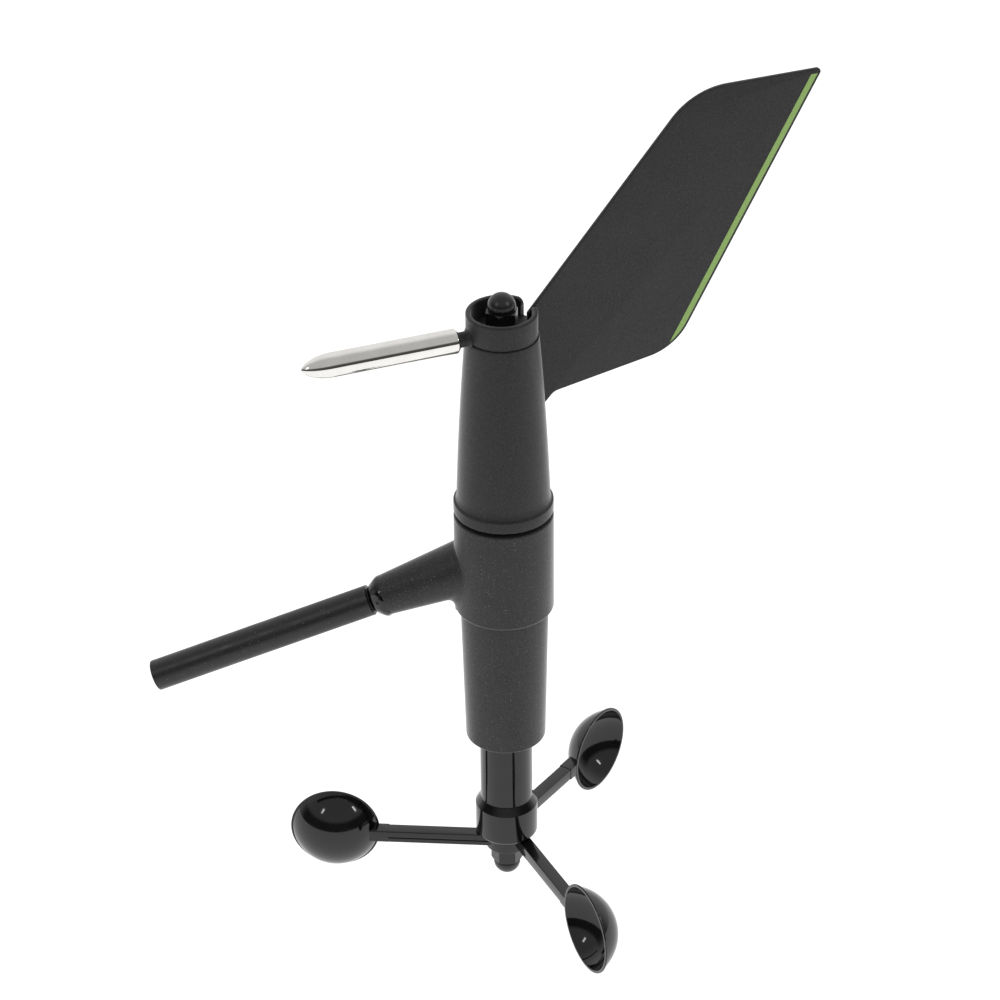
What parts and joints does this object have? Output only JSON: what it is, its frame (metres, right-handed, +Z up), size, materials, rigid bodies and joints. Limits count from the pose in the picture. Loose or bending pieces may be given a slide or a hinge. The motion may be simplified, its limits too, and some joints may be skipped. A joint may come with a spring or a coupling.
{
  "type": "cup anemometer",
  "caption": "Masthead wind sensor: a pivoting wind vane with a chromed counterweight above a slim housing, a cup rotor below it, and a sloping tubular boom to one side.",
  "frame": {"origin": "centre of the boom's free end face, where the boom is fastened", "axes": "+Z up along the vertical spindle axis, +X level from the boom's free end towards the spindle axis, +Y behind; the boom climbs at 22 degrees from the origin in the XZ plane"},
  "size_m": [0.269, 0.1579, 0.3499],
  "materials": {
    "housing_plastic": "satin-matte black moulding with a fine pale speckle",
    "vane_plastic": "satin-matte black moulding with a green edge stripe on the blade",
    "gloss_plastic": "glossy black moulding",
    "boom_coating": "satin black coated aluminium tube",
    "chrome": "polished, with faint turning marks",
    "steel": "ground stainless steel",
    "brass": "plain",
    "rubber": "glossy black sealant and rubber",
    "magnet": "nickel-grey sintered magnet",
    "board": "green circuit board",
    "chip": "black moulded chip",
    "plug_plastic": "black moulded plug",
    "cable_jacket": "grey cable jacket"
  },
  "bodies": {
    "housing": {"main_housing": "housing_plastic", "lower_housing": "housing_plastic", "housing_o_ring": "rubber", "vane_bearing_carrier": "housing_plastic", "rotor_bearing_carrier": "housing_plastic", "boom_tube": "boom_coating", "boom_seal": "rubber", "boom_plug": "plug_plastic", "boom_grub_screw": "steel", "signal_cable": "cable_jacket", "circuit_board": "board", "angle_sensor": "chip", "speed_sensor": "chip", "board_connector": "chip", "board_standoff_1": "brass", "board_standoff_2": "brass", "board_standoff_3": "brass", "vane_bearing_1_outer_ring": "steel", "vane_bearing_2_outer_ring": "steel", "rotor_bearing_1_outer_ring": "steel", "rotor_bearing_2_outer_ring": "steel"},
    "vane": {"vane": "vane_plastic", "vane_skirt": "vane_plastic", "counterweight": "chrome", "vane_spindle": "steel", "vane_washer": "steel", "vane_dome_nut": "gloss_plastic", "vane_circlip": "steel", "vane_magnet": "magnet", "vane_bearing_1_inner_ring": "steel", "vane_bearing_2_inner_ring": "steel"},
    "rotor": {"cup_hub": "gloss_plastic", "cup_1": "gloss_plastic", "cup_2": "gloss_plastic", "cup_3": "gloss_plastic", "rotor_spindle": "steel", "rotor_dome_nut": "gloss_plastic", "rotor_circlip": "steel", "rotor_magnet": "magnet", "rotor_bearing_1_inner_ring": "steel", "rotor_bearing_2_inner_ring": "steel"},
    "vane_bearing_balls": {"vane_bearing_1_ball_cage": "steel", "vane_bearing_2_ball_cage": "steel"},
    "rotor_bearing_balls": {"rotor_bearing_1_ball_cage": "steel", "rotor_bearing_2_ball_cage": "steel"}
  },
  "joints": [
    {"name": "vane_spin", "type": "hinge", "parent": "housing", "child": "vane", "pos_m": [0.14279, 0, 0.07699], "axis": [0, 0, 1], "continuous": true},
    {"name": "rotor_spin", "type": "hinge", "parent": "housing", "child": "rotor", "pos_m": [0.14279, 0, 0.07699], "axis": [0, 0, 1], "continuous": true},
    {"name": "vane_ball_roll", "type": "hinge", "parent": "housing", "child": "vane_bearing_balls", "pos_m": [0.14279, 0, 0.07699], "axis": [0, 0, 1], "continuous": true},
    {"name": "rotor_ball_roll", "type": "hinge", "parent": "housing", "child": "rotor_bearing_balls", "pos_m": [0.14279, 0, 0.07699], "axis": [0, 0, 1], "continuous": true}
  ],
  "couplings": [
    {"joint": "vane_ball_roll", "follows": "vane_spin", "ratio": 0.4},
    {"joint": "rotor_ball_roll", "follows": "rotor_spin", "ratio": 0.4}
  ]
}
